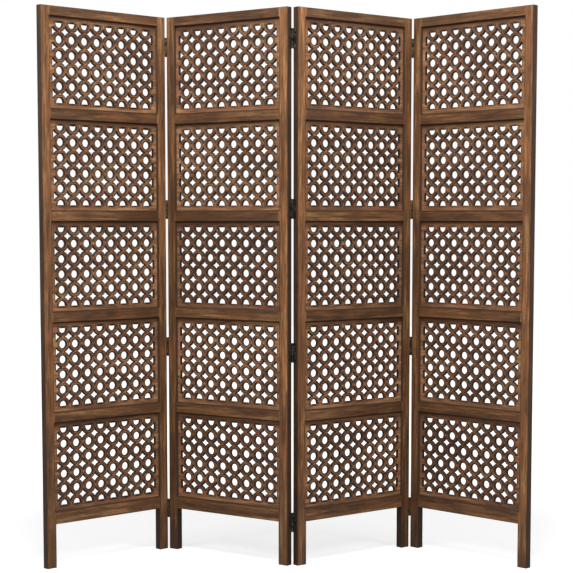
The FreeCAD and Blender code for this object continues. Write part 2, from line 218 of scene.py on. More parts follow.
# Values between which a layer of the wood comes in, then its shares there unless they are 0 and 1
MIDDLE_RAMP = (0.34, 0.58)
LIGHT_RAMP = (0.48, 0.70)
RED_RAMP = (0.46, 0.66, 0.0, 0.5)
STAIN_RAMP = (0.46, 0.70, 0.0, 0.75)
PORE_RAMP = (0.56, 0.70, 0.0, 0.75)
ARRIS_RAMP = (0.74, 0.97)
GLOSS_RAMP = (0.35, 0.70)

# Shares of the streaks in the tone, and of the fibres and pores in the relief
FIGURE_SHARE, FIBRE_SHARE = 0.6, 0.4
FIBRE_RELIEF, PORE_RELIEF = 0.6, 0.8
WOOD_BUMP = 0.5

# Red patches against the stained ones, in number, and metres that a piece's grain may be moved
RED_FINENESS = 2.3
GRAIN_SHIFTS = (9.0, 5.0, 17.0)

# Share of the carving's depth at which the wood is bare, and roughness added to dark and light wood
BARE_SHARE = 0.1
DARK_ROUGHER, LIGHT_ROUGHER = 0.12, -0.05

# Noises, layers and relief of the iron
RUB_NOISE = (4.0, 0.4, 0.65)
RUB_RAMP = (0.45, 0.70)
PIT_DETAIL = 3.0
PIT_FINENESS = 9
PIT_RAMP = (0.3, 0.7, 0.38, 0.62)
IRON_BUMP, PIT_DEPTH = 0.4, 0.0002


def grain_place(tree, at, own):
    """Place in the wood, moved so that no two pieces show the same grain."""
    shifts = {axis: calc(tree, "MULTIPLY", own, shift) for axis, shift in zip("XYZ", GRAIN_SHIFTS)}
    moved = step(tree, "ShaderNodeVectorMath", {"operation": "ADD"})
    tree.links.new(at, moved.inputs[0])
    tree.links.new(step(tree, "ShaderNodeCombineXYZ", None, **shifts).outputs[0], moved.inputs[1])
    return moved.outputs[0]


def wood_ground(tree, looks, grain_at, tone, pores):
    """Colour of the wood before its wear."""
    stain = noise(tree, grain_at, looks.blotch_scale, *STAIN_NOISE)
    red = noise(tree, grain_at, looks.blotch_scale * RED_FINENESS, *RED_NOISE)
    ground = mix(tree, ease(tree, tone, *MIDDLE_RAMP), colour(looks.dark), colour(looks.middle))
    for value, ramp, tint in ((tone, LIGHT_RAMP, looks.light), (red, RED_RAMP, looks.red),
                              (stain, STAIN_RAMP, looks.stain), (pores, PORE_RAMP, looks.deep)):
        ground = mix(tree, ease(tree, value, *ramp), ground, colour(tint))
    return ground


def wood(name, looks, turn=0.0, upright=False, carved=0.0, shade=1.0):
    """Stained and burnished hardwood.

    turn is the panel's angle, for a solid whose points are in the row frame. The grain runs up
    the piece if upright, and else along it; an upright piece is also painted with shade that
    darkens it towards the floor. carved is the half thickness of a carved board, whose sunk
    surfaces stay dark and whose upper edge is painted with the shadow of the rail above it, or
    zero. shade scales every colour; for the stiles it also holds painted light on those in front
    and painted shade on those behind.
    """
    material, tree, shader = new_material(name)
    source = step(tree, "ShaderNodeTexCoord").outputs
    level = (0, 0, -turn)
    at = step(tree, "ShaderNodeMapping", None, Vector=source["Object"], Rotation=level).outputs[0]
    place = step(tree, "ShaderNodeSeparateXYZ", None, Vector=at).outputs
    own = step(tree, "ShaderNodeObjectInfo").outputs["Random"]
    grain_at = grain_place(tree, at, own)
    stretch = (1.0, 1.0, looks.grain_stretch) if upright else (looks.grain_stretch, 1.0, 1.0)
    streaks = step(tree, "ShaderNodeMapping", None, Vector=grain_at, Scale=stretch).outputs[0]
    figure = noise(tree, streaks, looks.figure_scale, *FIGURE_NOISE)
    fibres = noise(tree, streaks, looks.fibre_scale, *FIBRE_NOISE)
    pores = noise(tree, streaks, looks.pore_scale, *PORE_NOISE)
    tone = calc(tree, "ADD", calc(tree, "MULTIPLY", figure, FIGURE_SHARE),
                calc(tree, "MULTIPLY", fibres, FIBRE_SHARE))
    differing = calc(tree, "MULTIPLY", calc(tree, "SUBTRACT", own, 0.5), looks.variety)
    tone = calc(tree, "ADD", tone, differing)
    ground = wood_ground(tree, looks, grain_at, tone, pores)
    ground = mix(tree, 1.0, ground, colour([shade] * 3), "MULTIPLY")
    if upright:
        # Painted shade: darker towards the floor.
        foot = ease(tree, place["Z"], 0.0, looks.foot_height, looks.foot_painted_shade, 0.0)
        ground = mix(tree, foot, ground, colour(looks.deep))
    if carved:
        worn = ease(tree, calc(tree, "ABSOLUTE", place["Y"]), carved - looks.carving,
                    carved - looks.carving * BARE_SHARE)
        # Painted shadow under the rail above: the upper edge of the board is darker.
        painted_rail_shadow = ease(tree, place["Z"], looks.rail_shadow_start, looks.rail_shadow_end, 0.0, looks.rail_shadow_darkness)
        ground = mix(tree, painted_rail_shadow, ground, colour(looks.deep))
    else:
        facing = step(tree, "ShaderNodeMapping", {"vector_type": "NORMAL"}, Vector=source["Normal"],
                      Rotation=level).outputs[0]
        frontal = step(tree, "ShaderNodeSeparateXYZ", None, Vector=facing).outputs["Y"]
        worn = ease(tree, calc(tree, "ABSOLUTE", frontal), *ARRIS_RAMP)
    sunk = mix(tree, looks.sunk, ground, colour(looks.deep))
    tree.links.new(mix(tree, worn, sunk, ground), shader.inputs["Base Color"])
    rough = ease(tree, tone, *GLOSS_RAMP, looks.roughness + DARK_ROUGHER, looks.roughness + LIGHT_ROUGHER)
    tree.links.new(rough, shader.inputs["Roughness"])
    relief = calc(tree, "SUBTRACT", calc(tree, "MULTIPLY", fibres, FIBRE_RELIEF),
                  calc(tree, "MULTIPLY", pores, PORE_RELIEF))
    bump(tree, shader, relief, WOOD_BUMP, looks.relief)
    shader.inputs["Specular IOR Level"].default_value = looks.shine
    return material


def iron(name, looks):
    """Blackened iron, rubbed bare in places."""
    material, tree, shader = new_material(name)
    at = step(tree, "ShaderNodeTexCoord").outputs["Object"]
    rub = noise(tree, at, looks.rub_scale, *RUB_NOISE)
    pits = noise(tree, at, looks.rub_scale * PIT_FINENESS, PIT_DETAIL)
    tint = mix(tree, ease(tree, rub, *RUB_RAMP), colour(looks.black), colour(looks.rubbed))
    tree.links.new(tint, shader.inputs["Base Color"])
    tree.links.new(ease(tree, pits, *PIT_RAMP), shader.inputs["Roughness"])
    shader.inputs["Metallic"].default_value = looks.metal
    bump(tree, shader, pits, IRON_BUMP, PIT_DEPTH)
    return material


# Meshes

QUARTER_TURN = math.pi / 2
FULL_TURN = 2 * math.pi

# An eased edge has one knee, at this share of its width from the opening and this share of its drop
KNEE_WIDTH = 0.4
KNEE_DROP = 0.5

# Share of a side opening's height over which the border is let in
LET_IN = 0.8

# Sides of a round form, and segments of a worn arris
ROUND_SIDES = 20
ARRIS_SEGMENTS = 2

# In radii of a round knuckle: reach that takes in a flat-sided one's corners, and where a tab ends
KNUCKLE_REACH = 1.12
TAB_END = 0.8

# Radius of a pin's eased ends, in radii of the pin
PIN_END = 0.6

# From the middle screw to the outer ones, in heights of a leaf
SCREW_SPREAD = 0.34

# Steps round half a screw's head, and steps that the slot takes at either end of it
SCREW_STEPS = 8
SLOT_STEPS = 0.6

# Edges sharper than this many degrees stay sharp
LATTICE_CREASE = 34
HINGE_CREASE = 40


def baked(name, mesh, crease):
    """Mesh data of a finished form, smooth but for its creases."""
    bmesh.ops.recalc_face_normals(mesh, faces=mesh.faces)
    data = bpy.data.meshes.new(name)
    mesh.to_mesh(data)
    mesh.free()
    data.shade_smooth()
    data.set_sharp_from_angle(angle=math.radians(crease))
    return data


def finish_mesh(name, data, material, place, body, slot, *nodes):
    """Object of a mesh at its place, riding on a body and standing for CAD nodes."""
    piece = bpy.data.objects.new(name, data)
    bpy.context.scene.collection.objects.link(piece)
    piece.matrix_world = place
    if not data.materials:
        data.materials.append(material)
    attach(piece, body)
    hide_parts(*nodes)


def tip_turn(looks):
    """Angle, seen from a hole's centre, from a web's middle to the tip of a four-pointed opening."""
    return math.acos(looks.pitch / 2 / looks.ring_reach)


def flat_stand(looks, up):
    """From the centre of a cut-off hole to its flat side, above or below it."""
    return looks.top_flat if up > 0 else looks.bottom_flat


def whole_turns(looks):
    """Angle of every ray round a whole hole, and whether it ends in a four-pointed opening."""
    tip = tip_turn(looks)
    for quarter in range(4):
        corner = quarter * QUARTER_TURN
        for index in range(looks.web_steps + 1):
            yield corner + tip * index / looks.web_steps, False
        for index in range(looks.side_steps + 1):
            yield corner + tip + (QUARTER_TURN - 2 * tip) * index / looks.side_steps, True
        for index in range(looks.web_steps):
            yield corner + QUARTER_TURN - tip + tip * index / looks.web_steps, False


def corner_turns(looks, left, right, end):
    """Angles of the rays to the corners of a cut-off cell and of its hole's flat side."""
    for side in (-left, right):
        yield math.atan2(end, side) % FULL_TURN
        yield math.atan2(math.copysign(flat_stand(looks, end), end),
                         math.copysign(looks.flat_corner, side)) % FULL_TURN


def cell_rays(looks, left, right, bottom, top):
    """Rays round a hole: direction, where the wood begins and ends, and whether an opening ends it."""
    half = looks.pitch / 2
    tip = tip_turn(looks)
    rays = list(whole_turns(looks))
    for end in (-bottom, top):
        if abs(end) < half - TINY:
            rays += [(turn, False) for turn in corner_turns(looks, left, right, end)]
    for turn, pierced in sorted(rays, key=lambda ray: ray[0]):
        x, z = math.cos(turn), math.sin(turn)
        side = right if x > 0 else left
        end = top if z > 0 else bottom
        hole = looks.hole_radius
        reach = min(side / max(abs(x), TINY), end / max(abs(z), TINY))
        if end < half - TINY and abs(z) > TINY:
            stand = flat_stand(looks, z)
            flare = (looks.flat_corner - hole) / stand
            hole = min(hole / max(abs(x) - flare * abs(z), TINY), stand / abs(z))
            pierced = False
        else:
            between_tips = tip - TINY < turn % QUARTER_TURN < QUARTER_TURN - tip + TINY
            at_border = side > half + TINY and abs(x) > abs(z)
            pierced = pierced or between_tips and not at_border
        if pierced:
            reach = looks.ring_reach
        yield x, z, hole, reach, pierced


def carved_line(looks, hole, reach, pierced):
    """Radius and depth of every edge on a ray: the rim, the carved ring and the ray's end."""
    drop = looks.edge_depth if pierced else 0.0
    ring, ring_half = looks.groove_radius, looks.groove_width / 2
    groove = 0.0 if ring + looks.groove_width > reach - looks.edge_width / 2 else looks.groove_depth
    flat = hole + looks.rim_width
    line = [(hole, looks.rim_depth), (hole + looks.rim_width * KNEE_WIDTH, looks.rim_depth * KNEE_DROP),
            (flat, 0.0), (max(ring - ring_half, flat), 0.0), (max(ring, flat), groove),
            (max(ring + ring_half, flat), 0.0), (reach - looks.edge_width, 0.0),
            (reach - looks.edge_width * KNEE_WIDTH, drop * KNEE_DROP), (reach, drop)]
    return [(min(radius, reach), depth) for radius, depth in line]


def carve_cell(mesh, looks, across, up, limits):
    """Lattice round one hole, out to the limits on its left, right, bottom and top."""
    thick = JALI_SIZE.y / 2
    spokes = []
    for x, z, hole, reach, pierced in cell_rays(looks, *limits):
        line = carved_line(looks, hole, reach, pierced)
        faces = [[mesh.verts.new((across + radius * x, facing * (thick - depth), up + radius * z))
                  for radius, depth in line] for facing in (-1, 1)]
        spokes.append((*faces, pierced))
    for (front, back, pierced), following in zip(spokes, spokes[1:] + spokes[:1]):
        next_front, next_back, next_pierced = following
        for face, next_face, order in ((front, next_front, -1), (back, next_back, 1)):
            for level in range(len(face) - 1):
                quad = face[level], next_face[level], next_face[level + 1], face[level + 1]
                mesh.faces.new(quad[::order])
        mesh.faces.new((front[0], next_front[0], next_back[0], back[0]))
        if pierced or next_pierced:
            mesh.faces.new((back[-1], next_back[-1], next_front[-1], front[-1]))


def carve_border(mesh, looks):
    """Plain border round the lattice, let in where it ends the openings at the sides."""
    half = looks.pitch / 2
    thick = JALI_SIZE.y / 2
    inner_x = looks.columns * half + looks.side_reach
    inner_z = looks.rows * half + half + looks.end_reach
    opening = half - (half + looks.side_reach) * math.tan(tip_turn(looks))
    drop = looks.edge_depth
    edge = [(-inner_z, 0.0)]
    for boundary in range(looks.rows + 1):
        middle = (boundary - looks.rows / 2) * looks.pitch
        for share, depth in ((-1, 0.0), (-LET_IN, drop), (LET_IN, drop), (1, 0.0)):
            edge.append((middle + share * opening, depth))
    edge.append((inner_z, 0.0))
    outline = [(1, z, depth) for z, depth in edge] + [(-1, z, depth) for z, depth in reversed(edge)]

    def loop(facing, x, end, sunk):
        """Points round a face of the board at one width, with its corners at the end height."""
        return [mesh.verts.new((side * x, facing * (thick - depth * sunk),
                                math.copysign(end, z) if abs(z) == inner_z else z))
                for side, z, depth in outline]

    loops = []
    for facing in (-1, 1):
        loops.append([loop(facing, inner_x, inner_z, 1.0),
                      loop(facing, inner_x + looks.edge_width, inner_z + looks.edge_width, 0.0),
                      loop(facing, JALI_SIZE.x / 2, JALI_SIZE.z / 2, 0.0)])
    round_border = loops[0] + loops[1][::-1]
    for here, there in zip(round_border, round_border[1:] + round_border[:1]):
        for index in range(len(outline)):
            after = (index + 1) % len(outline)
            mesh.faces.new((here[index], here[after], there[after], there[index]))


def jali_mesh(looks):
    """Carved and pierced board, centred on its origin and upright in the XZ plane.

    Every hole has a cell of its own, swept round it: the hole's eased rim, a flat, a carved
    ring and the web beyond, out to the neighbouring cell, to the rounded side of a
    four-pointed opening or to the plain border. The holes in the end rows are cut off flat.
    """
    half = looks.pitch / 2
    end_row = looks.rows * half + half
    mesh = bmesh.new()
    for column in range(looks.columns):
        across = (column - (looks.columns - 1) / 2) * looks.pitch
        left = half + looks.side_reach * (column == 0)
        right = half + looks.side_reach * (column == looks.columns - 1)
        for row in range(looks.rows):
            carve_cell(mesh, looks, across, (row - (looks.rows - 1) / 2) * looks.pitch,
                       (left, right, half, half))
        carve_cell(mesh, looks, across, end_row, (left, right, half, looks.end_reach))
        carve_cell(mesh, looks, across, -end_row, (left, right, looks.end_reach, half))
    bmesh.ops.remove_doubles(mesh, verts=mesh.verts, dist=TINY)
    bmesh.ops.dissolve_degenerate(mesh, edges=mesh.edges, dist=TINY)
    carve_border(mesh, looks)
    return baked("jali", mesh, LATTICE_CREASE)


def turned(mesh, looks, spot, ends, radius, end_radius):
    """Upright round form about an axis, with eased ends."""
    low, high = ends
    rings = []
    for height, reach in ((low, end_radius), (low + looks.crown, radius), (high - looks.crown, radius),
                          (high, end_radius)):
        rings.append([mesh.verts.new((spot.x + reach * math.cos(FULL_TURN * side / ROUND_SIDES),
                                      spot.y + reach * math.sin(FULL_TURN * side / ROUND_SIDES), height))
                      for side in range(ROUND_SIDES)])
    for lower, upper in zip(rings, rings[1:]):
        for side in range(ROUND_SIDES):
            after = (side + 1) % ROUND_SIDES
            mesh.faces.new((lower[side], lower[after], upper[after], upper[side]))
    mesh.faces.new(rings[0][::-1])
    mesh.faces.new(rings[-1])


def slab(mesh, outline, low, high):
    """Flat form between two X places; outline lists its points in Y and Z."""
    faces = [[mesh.verts.new((x, y, z)) for y, z in outline] for x in (low, high)]
    mesh.faces.new(faces[0][::-1])
    mesh.faces.new(faces[1])
    for index in range(len(outline)):
        after = (index + 1) % len(outline)
        mesh.faces.new((faces[0][index], faces[0][after], faces[1][after], faces[1][index]))


def heights_near(node, place, axis, reach):
    """Ends of the upright solids of a node that stand round an axis, from the floor up."""
    inward = place.inverted()
    points = [inward @ point for point in corners(node)]
    levels = sorted(point.z for point in points if math.hypot(point.x - axis.x, point.y - axis.y) < reach)
    ends = [levels[0]]
    for level, below in zip(levels[1:], levels):
        if level - below > SAME_PLACE:
            ends.append(level)
    return list(zip(ends[::2], ends[1::2]))


def screw(mesh, looks, face, side, across, up):
    """Head of a countersunk screw in the face of a leaf, in two halves beside its slot."""
    for half_turn in (0, 1):
        outline = []
        for index in range(SCREW_STEPS + 1):
            turn = math.pi * (half_turn + (index + SLOT_STEPS) / (SCREW_STEPS + 2 * SLOT_STEPS))
            outline.append((across + looks.screw * math.cos(turn), up + looks.screw * math.sin(turn)))
        slab(mesh, outline, *sorted((face - side * looks.leaf / 2, face + side * looks.screw_proud)))


def hinge_leaves(mesh, looks, box, spot, knuckles):
    """Leaves at every level of a fold, with tabs into their knuckles, and their screws."""
    low, high = box
    side = math.copysign(1, spot.x)
    face = spot.x - side * looks.leaf_clear
    faces = sorted((face, spot.x - side * looks.leaf))
    away = 1 if spot.y < (low.y + high.y) / 2 else -1
    near = spot.y + away * looks.barrel * TAB_END
    start = spot.y + away * looks.leaf_start
    end = high.y if away > 0 else low.y
    shoulder = end - away * looks.leaf_corner
    per_level = len(knuckles) // looks.levels
    for index in range(looks.levels):
        tabs = knuckles[index * per_level:(index + 1) * per_level]
        middle = (tabs[0][0] + tabs[-1][1]) / 2
        bottom, top = middle - looks.leaf_height / 2, middle + looks.leaf_height / 2
        slab(mesh, [(start, bottom), (shoulder, bottom), (end, bottom + looks.leaf_corner),
                    (end, top - looks.leaf_corner), (shoulder, top), (start, top)], *faces)
        for tab_low, tab_high in tabs:
            slab(mesh, [(near, tab_low), (start, tab_low), (start, tab_high), (near, tab_high)], *faces)
        for share in (-SCREW_SPREAD, 0.0, SCREW_SPREAD):
            screw(mesh, looks, face, side, (start + end) / 2, middle + share * looks.leaf_height)


# Properties

class WoodLooks:
    """Finish that the frame and the boards have in common."""

    grain_stretch: FloatProperty(name="Grain stretch", description="Width of a streak against its length",
                                 min=0.005, max=1, default=0.07)
    figure_scale: FloatProperty(name="Figure", description="Broad streaks in a metre", min=1, default=55)
    fibre_scale: FloatProperty(name="Fibres", description="Fine streaks in a metre", min=1, default=190)
    pore_scale: FloatProperty(name="Pores", description="Pores in a metre", min=1, default=520)
    blotch_scale: FloatProperty(name="Blotches", description="Patches in a metre", min=0.1, default=5)
    roughness: FloatProperty(name="Roughness", description="Roughness of the burnished wood",
                             min=0, max=1, default=0.5)
    shine: FloatProperty(name="Shine", description="Strength of the sheen", min=0, max=1, default=0.25)
    relief: FloatProperty(name="Relief", description="Height of the grain", unit="LENGTH", min=0,
                          default=0.0006)


class FrameLooks(WoodLooks, bpy.types.PropertyGroup):
    """Finish of the stiles and rails"""

    dark: FloatVectorProperty(name="Dark", description="Dark bands of the grain", subtype="COLOR",
                              min=0, max=1, default=(0.070, 0.030, 0.012))
    middle: FloatVectorProperty(name="Middle", description="Ground colour", subtype="COLOR",
                                min=0, max=1, default=(0.200, 0.092, 0.036))
    light: FloatVectorProperty(name="Light", description="Burnished streaks", subtype="COLOR",
                               min=0, max=1, default=(0.43, 0.225, 0.088))
    red: FloatVectorProperty(name="Red", description="Ruddy patches", subtype="COLOR",
                             min=0, max=1, default=(0.215, 0.084, 0.034))
    stain: FloatVectorProperty(name="Stain", description="Patches that took more stain", subtype="COLOR",
                               min=0, max=1, default=(0.095, 0.042, 0.018))
    # Deep is also the colour of the painted shade at the foot of the stiles.
    deep: FloatVectorProperty(name="Deep", description="Pores, edges and sunk places", subtype="COLOR",
                              min=0, max=1, default=(0.024, 0.014, 0.009))
    sunk: FloatProperty(name="Sunk", description="Darkness of bevels and edges", min=0, max=1, default=0.84)
    variety: FloatProperty(name="Variety", description="Difference from member to member", min=0,
                           default=0.08)
    # Painted light and shade: the stiles in front are painted brighter, and those behind, at the back folds,
    # darker.
    front_painted_light: FloatProperty(name="Front shade", description="Brightness of the stiles in front", min=0,
                               default=1.5)
    back_painted_shade: FloatProperty(name="Back shade", description="Brightness of the stiles behind", min=0,
                              default=1.0)
    # Painted shade: the stiles are painted darker towards the floor, fading out at the foot height.
    foot_painted_shade: FloatProperty(name="Foot stain", description="Darkness of the stain at the feet", min=0,
                              max=1, default=0.4)
    foot_height: FloatProperty(name="Foot height", description="Height at which that stain ends",
                               unit="LENGTH", default=0.75)
    rail_shade: FloatProperty(name="Rail shade", description="Brightness of the rails", min=0, default=0.84)
    easing: FloatProperty(name="Easing", description="Worn arrises of the frame", unit="LENGTH",
                          min=0, default=0.0009)
    arris_angle: FloatProperty(name="Arris angle", description="Edges sharper than this are worn",
                               subtype="ANGLE", default=math.radians(25))


class BoardLooks(WoodLooks, bpy.types.PropertyGroup):
    """Finish of the carved boards"""

    dark: FloatVectorProperty(name="Dark", description="Dark bands of the grain", subtype="COLOR",
                              min=0, max=1, default=(0.115, 0.048, 0.024))
    middle: FloatVectorProperty(name="Middle", description="Ground colour", subtype="COLOR",
                                min=0, max=1, default=(0.31, 0.145, 0.062))
    light: FloatVectorProperty(name="Light", description="Burnished streaks", subtype="COLOR",
                               min=0, max=1, default=(0.52, 0.285, 0.135))
    red: FloatVectorProperty(name="Red", description="Ruddy patches", subtype="COLOR",
                             min=0, max=1, default=(0.33, 0.128, 0.062))
    stain: FloatVectorProperty(name="Stain", description="Patches that took more stain", subtype="COLOR",
                               min=0, max=1, default=(0.15, 0.068, 0.033))
    # Deep is also the colour of the painted shadow under the rails.
    deep: FloatVectorProperty(name="Deep", description="Pores, rims and sunk places", subtype="COLOR",
                              min=0, max=1, default=(0.020, 0.009, 0.005))
    sunk: FloatProperty(name="Sunk", description="Darkness of rims and walls", min=0, max=1, default=0.96)
    variety: FloatProperty(name="Variety", description="Difference from board to board", min=0, default=0.10)
    # Painted shadow of the rail above: the upper edge of each board is painted darker.
    rail_shadow_start: FloatProperty(name="Stain start", description="Height over a board's middle where the "
                               "stain gathered under the rail begins", unit="LENGTH", default=0.120)
    rail_shadow_end: FloatProperty(name="Stain end", description="Height over a board's middle where it is full",
                             unit="LENGTH", default=0.143)
    rail_shadow_darkness: FloatProperty(name="Gathered", description="Darkness of that stain", min=0, max=1, default=0.5)
    carving: FloatProperty(name="Carving", description="Depth over which sunk wood turns dark",
                           unit="LENGTH", min=0, default=0.00025)


class JaliLooks(bpy.types.PropertyGroup):
    """Carved lattice"""

    pitch: FloatProperty(name="Pitch", description="Spacing of the round holes", unit="LENGTH", default=0.05)
    columns: IntProperty(name="Columns", description="Round holes in a row", min=2, default=8)
    rows: IntProperty(name="Rows", description="Rows of whole holes", min=2, default=4)
    hole_radius: FloatProperty(name="Hole", description="Radius of a round hole", unit="LENGTH",
                               default=0.01275)
    flat_corner: FloatProperty(name="Flat corner", description="From the middle of a cut-off hole's flat "
                               "side to its end", unit="LENGTH", default=0.0145)
    top_flat: FloatProperty(name="Top flat", description="From the centre of a top cut-off hole up to its "
                            "flat side", unit="LENGTH", min=0.0001, default=0.0027)
    bottom_flat: FloatProperty(name="Bottom flat", description="From the centre of a bottom cut-off hole "
                               "down to its flat side", unit="LENGTH", min=0.0001, default=0.0036)
    end_reach: FloatProperty(name="End reach", description="From the centre of a cut-off hole to the plain "
                             "border", unit="LENGTH", default=0.009)
    side_reach: FloatProperty(name="Side reach", description="From the outer four-pointed openings' middle "
                              "to the plain border", unit="LENGTH", default=0.002)
    ring_reach: FloatProperty(name="Ring reach", description="From a hole's centre to the rounded side of "
                              "a four-pointed opening", unit="LENGTH", default=0.0266)
    rim_width: FloatProperty(name="Rim", description="Width of the eased rim", unit="LENGTH", default=0.0046)
    rim_depth: FloatProperty(name="Rim depth", description="Drop of the eased rim", unit="LENGTH",
                             default=0.0019)
    groove_radius: FloatProperty(name="Groove radius", description="Radius of the carved ring",
                                 unit="LENGTH", default=0.0205)
    groove_width: FloatProperty(name="Groove width", description="Width of the carved ring", unit="LENGTH",
                                default=0.0024)
    groove_depth: FloatProperty(name="Groove depth", description="Depth of the carved ring", unit="LENGTH",
                                default=0.0012)
    edge_width: FloatProperty(name="Edge", description="Eased edge of a four-pointed opening",
                              unit="LENGTH", default=0.0036)
    edge_depth: FloatProperty(name="Edge depth", description="Drop of that edge", unit="LENGTH",
                              default=0.0016)
    web_steps: IntProperty(name="Web steps", description="Steps across half a web", min=1, default=2)
    side_steps: IntProperty(name="Side steps", description="Steps along a rounded side", min=2, default=5)


class HingeLooks(bpy.types.PropertyGroup):
    """Butt hinges"""

    black: FloatVectorProperty(name="Black", description="Blackened iron", subtype="COLOR", min=0, max=1,
                               default=(0.022, 0.020, 0.019))
    rubbed: FloatVectorProperty(name="Rubbed", description="Iron rubbed bare", subtype="COLOR", min=0,
                                max=1, default=(0.20, 0.165, 0.135))
    metal: FloatProperty(name="Metal", description="How metallic the iron looks", min=0, max=1, default=0.75)
    rub_scale: FloatProperty(name="Rubbed patches", description="Patches in a metre", min=1, default=90)
    barrel: FloatProperty(name="Barrel", description="Radius of a knuckle", unit="LENGTH", default=0.00275)
    pin: FloatProperty(name="Pin", description="Radius of a pin", unit="LENGTH", default=0.0015)
    crown: FloatProperty(name="Crown", description="Eased end of a knuckle or pin", unit="LENGTH",
                         default=0.0004)
    leaf: FloatProperty(name="Leaf", description="Thickness of a leaf", unit="LENGTH", default=0.0012)
    leaf_clear: FloatProperty(name="Leaf clearance", description="From a leaf's face to the plane where "
                              "closed leaves would meet", unit="LENGTH", default=0.00015)
    leaf_start: FloatProperty(name="Leaf start", description="From the pin's middle to a leaf's plate",
                              unit="LENGTH", default=0.0033)
    leaf_height: FloatProperty(name="Leaf height", description="Height of a leaf", unit="LENGTH",
                               default=0.065)
    leaf_corner: FloatProperty(name="Leaf corner", description="Corner cut from a leaf", unit="LENGTH",
                               default=0.0015)
    levels: IntProperty(name="Levels", description="Hinges at a fold", min=1, default=4)
    screw: FloatProperty(name="Screw", description="Radius of a screw's head", unit="LENGTH", default=0.0026)
    screw_proud: FloatProperty(name="Screw proud", description="Stand of a screw's head over the leaf",
                               unit="LENGTH", default=0.00005)


class StageLooks(bpy.types.PropertyGroup):
    """Camera, lamps and floor"""

    camera: FloatVectorProperty(name="Camera", description="Place of the lens", subtype="TRANSLATION",
                                unit="LENGTH", default=(0.0247, -5.3043, 1.1362))
    pitch: FloatProperty(name="Pitch", description="Tilt of the camera", subtype="ANGLE",
                         default=math.radians(-4.973))
    yaw: FloatProperty(name="Yaw", description="Turn of the camera to the right", subtype="ANGLE",
                       default=math.radians(-0.302))
    focal_pixels: FloatProperty(name="Focal length", description="Focal length in the photograph's pixels",
                                subtype="PIXEL", default=1577.5)
    axis_row: FloatProperty(name="Axis row", description="Row of pixels that the lens points at",
                            subtype="PIXEL", default=360.1)
    key_power: FloatProperty(name="Key", description="Power of the key lamp", unit="POWER", default=58)
    fill_power: FloatProperty(name="Fill", description="Power of the fill lamp", unit="POWER", default=58)
    top_power: FloatProperty(name="Top", description="Power of the lamp overhead", unit="POWER", default=122)
    sky: FloatProperty(name="Sky", description="Strength of the even light", min=0, default=0.25)
    floor_reach: FloatProperty(name="Floor", description="Half the floor's side", unit="LENGTH", default=12)
    floor_grey: FloatProperty(name="Floor grey", description="Tone of the floor", min=0, max=1, default=0.50)
    floor_roughness: FloatProperty(name="Floor roughness", description="Roughness of the floor", min=0,
                                   max=1, default=0.9)
    shadow_reach: FloatProperty(name="Shadow reach", description="Distance at which the floor starts to "
                                "turn white", unit="LENGTH", default=0.9)
    white_reach: FloatProperty(name="White reach", description="Distance at which the floor is white",
                               unit="LENGTH", default=2.6)
    shadow_glow: FloatProperty(name="Shadow glow", description="The floor's own white among the shadows",
                               min=0, max=1, default=0.72)


# Stage

# Width of the camera's sensor in millimetres, and how far it sees in metres
SENSOR_WIDTH = 36
FARTHEST = 100

# Name, place, height aimed at, width and power of every lamp
LAMPS = (
    ("key_lamp", (-2.8, -2.3, 3.3), 1.3, 1.5, "key_power"),
    ("fill_lamp", (2.8, -2.3, 3.3), 1.3, 1.5, "fill_power"),
    ("top_lamp", (0, -1.9, 4.3), 1.1, 1.2, "top_power"),
)


def stage_camera(scene, looks):
    """Camera where the photograph's stood."""
    lens = bpy.data.cameras.new("camera")
    lens.sensor_width = SENSOR_WIDTH
    lens.lens = looks.focal_pixels * lens.sensor_width / PHOTO_WIDTH
    lens.shift_y = (looks.axis_row - PHOTO_WIDTH / 2) / PHOTO_WIDTH
    lens.clip_end = FARTHEST
    camera = bpy.data.objects.new("camera", lens)
    scene.collection.objects.link(camera)
    turn = Matrix.Rotation(-looks.yaw, 4, "Z") @ Matrix.Rotation(QUARTER_TURN + looks.pitch, 4, "X")
    camera.matrix_world = Matrix.Translation(looks.camera) @ turn
    scene.camera = camera


def stage_lamps(scene, looks):
    """Soft round lamps to the left, to the right and overhead, aimed at the screen."""
    for name, place, aim, width, power in LAMPS:
        data = bpy.data.lights.new(name, "AREA")
        data.shape = "DISK"
        data.size = width
        data.energy = getattr(looks, power)
        lamp = bpy.data.objects.new(name, data)
        scene.collection.objects.link(lamp)
        lamp.location = place
        lamp.rotation_euler = (Vector((0, 0, aim)) - Vector(place)).to_track_quat("-Z", "Y").to_euler()


def stage_sky(scene, looks):
    """Even light, which the camera, metal and glass see as white."""
    world = bpy.data.worlds.new("studio")
    world.use_nodes = True
    tree = world.node_tree
    tree.nodes.clear()
    path = step(tree, "ShaderNodeLightPath").outputs
    seen = calc(tree, "MAXIMUM", path["Is Camera Ray"], path["Is Transmission Ray"])
    seen = calc(tree, "MAXIMUM", seen, path["Is Glossy Ray"])
    strength = calc(tree, "ADD", calc(tree, "MULTIPLY", seen, 1 - looks.sky), looks.sky)
    background = step(tree, "ShaderNodeBackground", None, Color=WHITE, Strength=strength)
    step(tree, "ShaderNodeOutputWorld", None, Surface=background.outputs[0])
    scene.world = world


